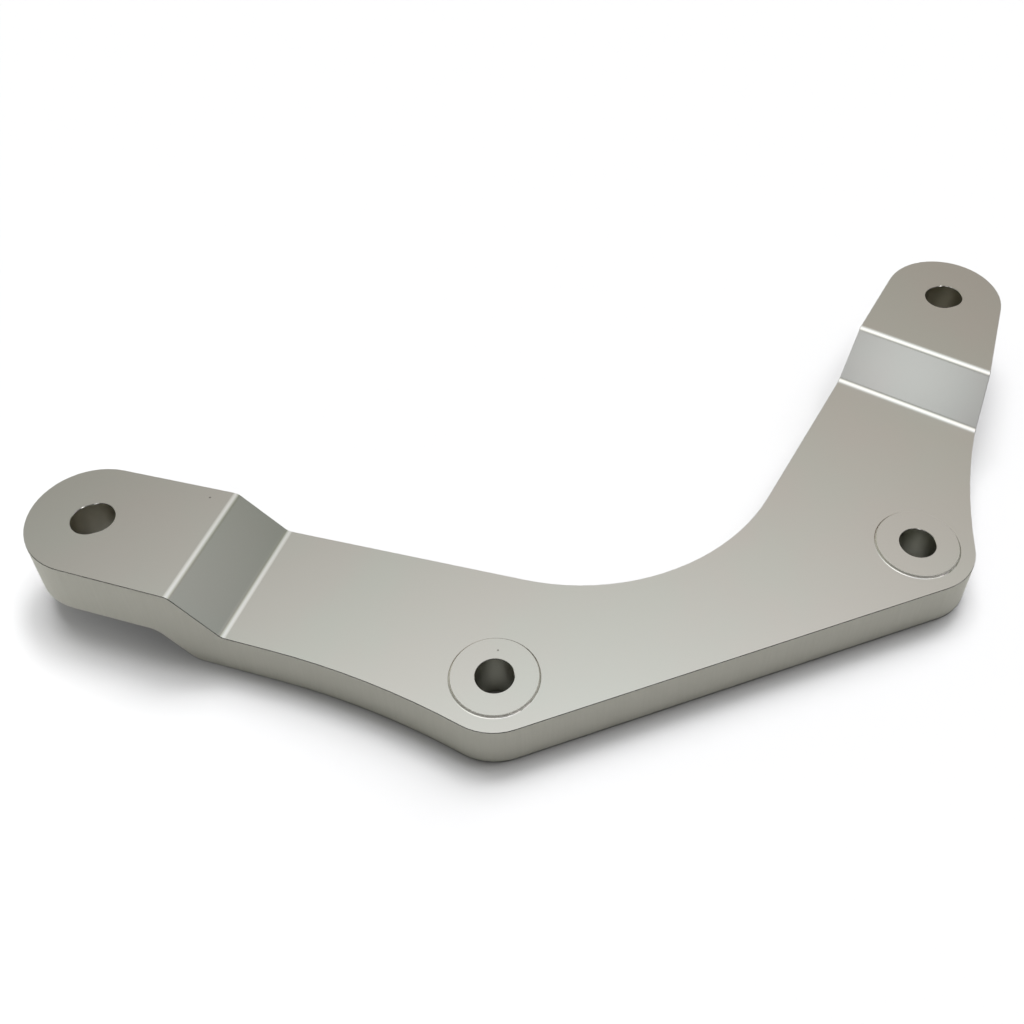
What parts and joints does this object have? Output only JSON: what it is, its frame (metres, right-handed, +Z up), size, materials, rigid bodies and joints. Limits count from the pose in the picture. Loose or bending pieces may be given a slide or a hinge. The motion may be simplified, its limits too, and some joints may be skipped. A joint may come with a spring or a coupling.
{
  "type": "joggled mounting bracket",
  "caption": "Flat machined bracket whose arms step up over ramps to raised, slotted, round-ended tabs, with bossed bolt holes along its straight base edge.",
  "frame": {"origin": "on the flat underside of the plate, midway between the two boss holes", "axes": "+Z up, from the underside to the bosses and the raised tabs; +X along the line of the boss holes, toward the shorter arm; +Y from the straight base edge toward the tabs"},
  "size_m": [0.268, 0.0987, 0.024],
  "materials": {
    "aluminium": "clear satin, fine blasted faces with brighter milled edges and ramps"
  },
  "bodies": {
    "root": {"bracket": "aluminium"}
  },
  "joints": []
}
